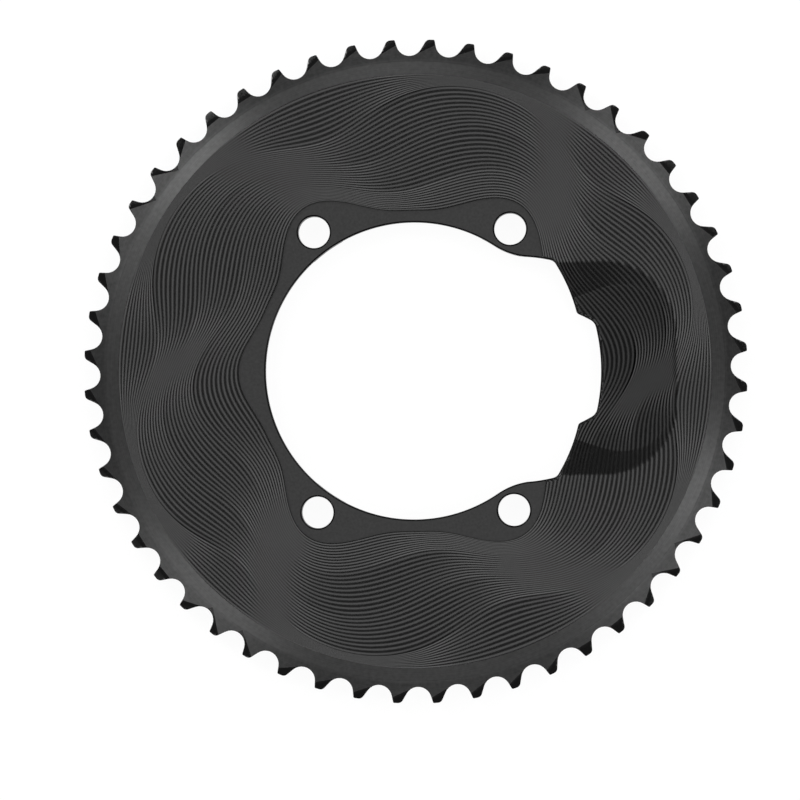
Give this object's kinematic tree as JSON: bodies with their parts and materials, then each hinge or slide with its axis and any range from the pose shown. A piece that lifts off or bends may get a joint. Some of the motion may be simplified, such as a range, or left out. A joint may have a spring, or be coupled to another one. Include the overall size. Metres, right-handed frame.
{
  "type": "bicycle chainring",
  "caption": "Flat toothed chainring with an aero web milled in flowing waves, a wide central opening with a crank arm notch, and bolt holes for a spider.",
  "frame": {"origin": "on the ring's axis, in the plane of the bolt pads' backs", "axes": "+Z along the ring's axis towards its outer face, +X towards the notch where the crank arm passes"},
  "size_m": [0.2132, 0.2132, 0.0043],
  "materials": {
    "black_anodised": "matte black anodised, with turned rim and milled wave grooves",
    "pin_steel": "turned stainless steel"
  },
  "bodies": {
    "root": {"chainring": "black_anodised", "shift_pins": "pin_steel"}
  },
  "joints": []
}
